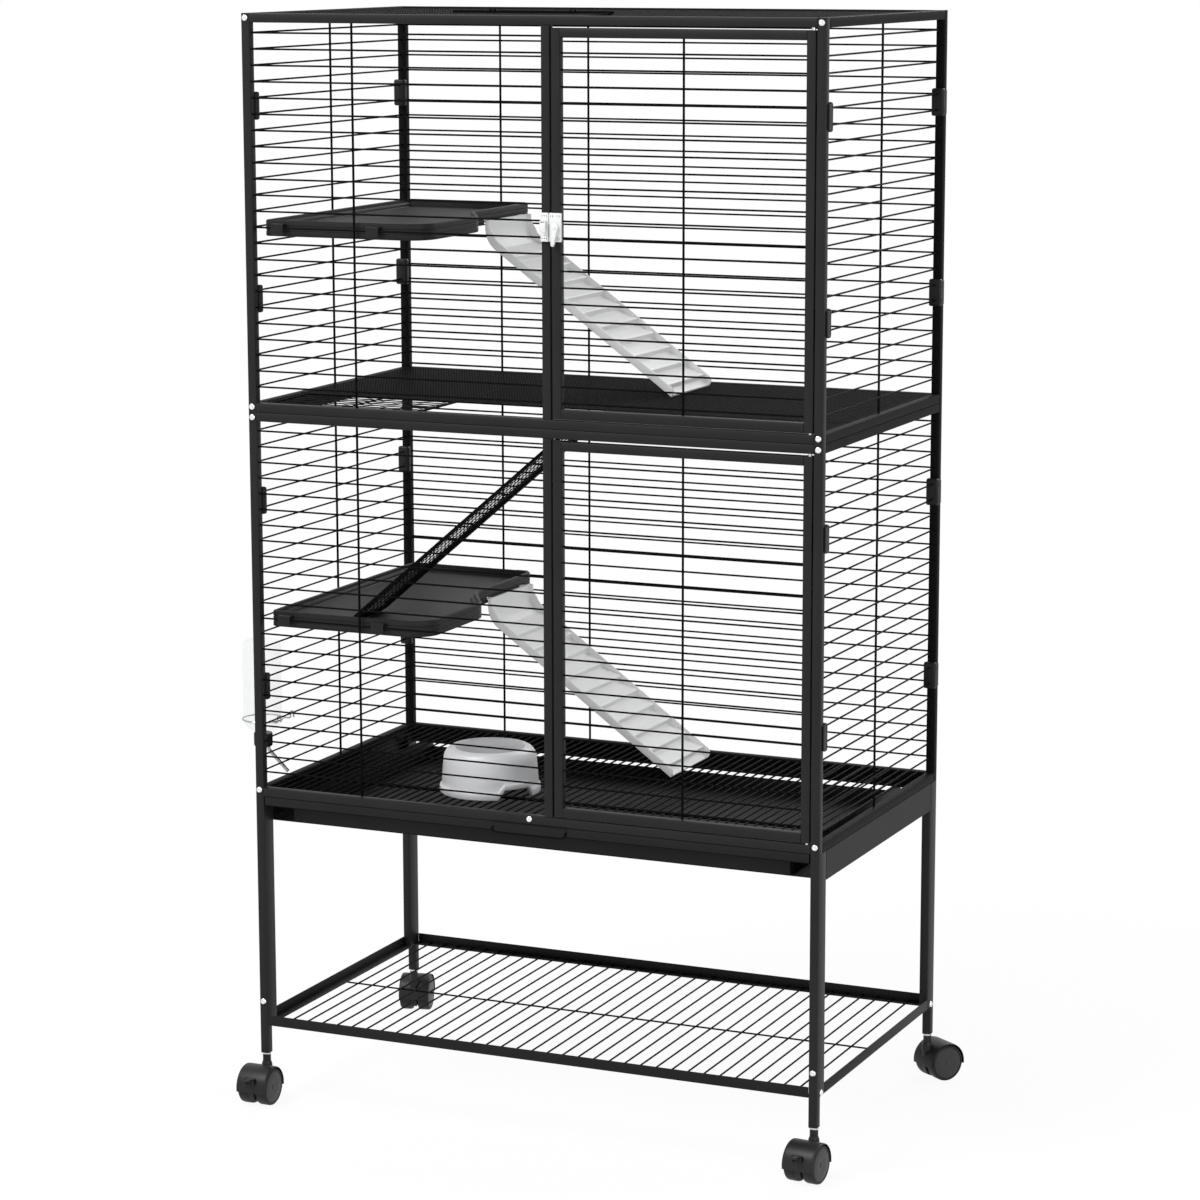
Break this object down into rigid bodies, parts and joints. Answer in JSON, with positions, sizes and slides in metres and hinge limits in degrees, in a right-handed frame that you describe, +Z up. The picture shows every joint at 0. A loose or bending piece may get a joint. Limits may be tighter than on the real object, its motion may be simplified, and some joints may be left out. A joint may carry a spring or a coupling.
{
  "type": "small animal cage",
  "caption": "Tall small animal cage of black wire panels on a wheeled stand, with hinged doors, platforms, ramps, a slide-out tray, a storage shelf and swivel casters.",
  "frame": {"origin": "on the floor, under the centre of the four posts", "axes": "+Z up, -Y out of the door side, +X to the right as seen from the door side"},
  "size_m": [0.8966, 0.5474, 1.455],
  "materials": {
    "frame_black": "satin powder coat",
    "door_black": "satin powder coat",
    "stand_black": "satin powder coat",
    "mesh_black": "satin powder coat on expanded mesh",
    "grid_black": "satin powder coat on wire",
    "sheet_black": "satin powder coat on sheet",
    "clip_black": "moulded",
    "platform_black": "moulded, fine grain",
    "ramp_white": "moulded",
    "bowl_grey": "moulded",
    "latch_white": "moulded, smooth",
    "bolt_steel": "bright zinc",
    "pin_steel": "turned",
    "caster_black": "moulded",
    "wheel_black": "moulded nylon",
    "bottle_clear": "clear",
    "tube_steel": "polished"
  },
  "bodies": {
    "frame": {"upper_front_panel": "frame_black", "upper_rear_panel": "frame_black", "upper_left_panel": "frame_black", "upper_right_panel": "frame_black", "upper_panel_clips": "clip_black", "upper_platform": "platform_black", "upper_platform_clips": "clip_black", "lower_front_panel": "frame_black", "lower_rear_panel": "frame_black", "lower_left_panel": "frame_black", "lower_right_panel": "frame_black", "lower_panel_clips": "clip_black", "lower_platform": "platform_black", "lower_platform_clips": "clip_black", "top_mesh": "mesh_black", "middle_floor_mesh": "mesh_black", "lower_floor_grid": "grid_black", "mesh_ramp_eyes": "mesh_black", "top_hatch_eyes": "mesh_black", "latch_keeper": "latch_white", "tray_screw": "bolt_steel", "tray_runners": "sheet_black", "stand_legs": "stand_black", "stand_rear_rail": "stand_black", "shelf_frame": "sheet_black", "shelf_wires": "grid_black", "front_bolts": "bolt_steel", "rear_bolts": "bolt_steel", "side_bolts": "bolt_steel", "caster_stems": "pin_steel", "bottle": "bottle_clear", "bottle_cap": "clip_black", "bottle_tube": "tube_steel", "bottle_ring": "tube_steel"},
    "upper_door": {"upper_door": "door_black", "upper_door_pins": "pin_steel", "latch_base": "latch_white"},
    "lower_door": {"lower_door": "door_black", "lower_door_pins": "pin_steel"},
    "latch_lever": {"latch_lever": "latch_white"},
    "upper_ramp": {"upper_ramp": "ramp_white"},
    "lower_ramp": {"lower_ramp": "ramp_white"},
    "mesh_ramp": {"mesh_ramp": "mesh_black"},
    "top_hatch": {"top_hatch": "mesh_black"},
    "tray": {"tray": "sheet_black"},
    "bowl": {"bowl": "bowl_grey"},
    "caster_front_left": {"caster_front_left_hood": "caster_black"},
    "caster_front_left_wheels": {"caster_front_left_wheels": "wheel_black"},
    "caster_front_left_brake": {"caster_front_left_brake": "caster_black"},
    "caster_front_right": {"caster_front_right_hood": "caster_black"},
    "caster_front_right_wheels": {"caster_front_right_wheels": "wheel_black"},
    "caster_front_right_brake": {"caster_front_right_brake": "caster_black"},
    "caster_rear_left": {"caster_rear_left_hood": "caster_black"},
    "caster_rear_left_wheels": {"caster_rear_left_wheels": "wheel_black"},
    "caster_rear_right": {"caster_rear_right_hood": "caster_black"},
    "caster_rear_right_wheels": {"caster_rear_right_wheels": "wheel_black"}
  },
  "joints": [
    {"name": "upper_door_swing", "type": "hinge", "parent": "frame", "child": "upper_door", "pos_m": [0.3825, -0.222, 1.1925], "axis": [0, 0, 1], "range_deg": [0, 120]},
    {"name": "lower_door_swing", "type": "hinge", "parent": "frame", "child": "lower_door", "pos_m": [0.3825, -0.222, 0.678], "axis": [0, 0, 1], "range_deg": [0, 120]},
    {"name": "latch_turn", "type": "hinge", "parent": "upper_door", "child": "latch_lever", "pos_m": [0.044, -0.2313, 1.1895], "axis": [0, 1, 0], "range_deg": [0, 90]},
    {"name": "upper_ramp_lift", "type": "hinge", "parent": "frame", "child": "upper_ramp", "pos_m": [-0.1858, 0.111, 1.1706], "axis": [0, -1, 0], "range_deg": [0, 40]},
    {"name": "lower_ramp_lift", "type": "hinge", "parent": "frame", "child": "lower_ramp", "pos_m": [-0.1858, 0.111, 0.6561], "axis": [0, -1, 0], "range_deg": [0, 40]},
    {"name": "mesh_ramp_lift", "type": "hinge", "parent": "frame", "child": "mesh_ramp", "pos_m": [0.056, -0.156, 0.9395], "axis": [0, 1, 0], "range_deg": [0, 35]},
    {"name": "top_hatch_lift", "type": "hinge", "parent": "frame", "child": "top_hatch", "pos_m": [-0.0475, -0.096, 1.451], "axis": [-1, 0, 0], "range_deg": [0, 100]},
    {"name": "tray_slide", "type": "slide", "parent": "frame", "child": "tray", "axis": [0, -1, 0], "range_m": [0, 0.4]},
    {"name": "bowl_lift", "type": "slide", "parent": "frame", "child": "bowl", "axis": [0, 0, 1], "range_m": [0, 0.12]},
    {"name": "caster_front_left_swivel", "type": "hinge", "parent": "frame", "child": "caster_front_left", "pos_m": [-0.394, -0.219, 0.056], "axis": [0, 0, 1], "continuous": true},
    {"name": "caster_front_left_roll", "type": "hinge", "parent": "caster_front_left", "child": "caster_front_left_wheels", "pos_m": [-0.394, -0.239, 0.025], "axis": [1, 0, 0], "continuous": true},
    {"name": "caster_front_left_brake_press", "type": "hinge", "parent": "caster_front_left", "child": "caster_front_left_brake", "pos_m": [-0.394, -0.2664, 0.0395], "axis": [1, 0, 0], "range_deg": [0, 20]},
    {"name": "caster_front_right_swivel", "type": "hinge", "parent": "frame", "child": "caster_front_right", "pos_m": [0.394, -0.219, 0.056], "axis": [0, 0, 1], "continuous": true},
    {"name": "caster_front_right_roll", "type": "hinge", "parent": "caster_front_right", "child": "caster_front_right_wheels", "pos_m": [0.39191, -0.23889, 0.025], "axis": [0.9945, -0.1045, 0], "continuous": true},
    {"name": "caster_front_right_brake_press", "type": "hinge", "parent": "caster_front_right", "child": "caster_front_right_brake", "pos_m": [0.38904, -0.26614, 0.0395], "axis": [0.9945, -0.1045, 0], "range_deg": [0, 20]},
    {"name": "caster_rear_left_swivel", "type": "hinge", "parent": "frame", "child": "caster_rear_left", "pos_m": [-0.394, 0.219, 0.056], "axis": [0, 0, 1], "continuous": true},
    {"name": "caster_rear_left_roll", "type": "hinge", "parent": "caster_rear_left", "child": "caster_rear_left_wheels", "pos_m": [-0.39918, 0.23832, 0.025], "axis": [-0.9659, -0.2588, 0], "continuous": true},
    {"name": "caster_rear_right_swivel", "type": "hinge", "parent": "frame", "child": "caster_rear_right", "pos_m": [0.394, 0.219, 0.056], "axis": [0, 0, 1], "continuous": true},
    {"name": "caster_rear_right_roll", "type": "hinge", "parent": "caster_rear_right", "child": "caster_rear_right_wheels", "pos_m": [0.40547, 0.23538, 0.025], "axis": [-0.8192, 0.5736, 0], "continuous": true}
  ]
}
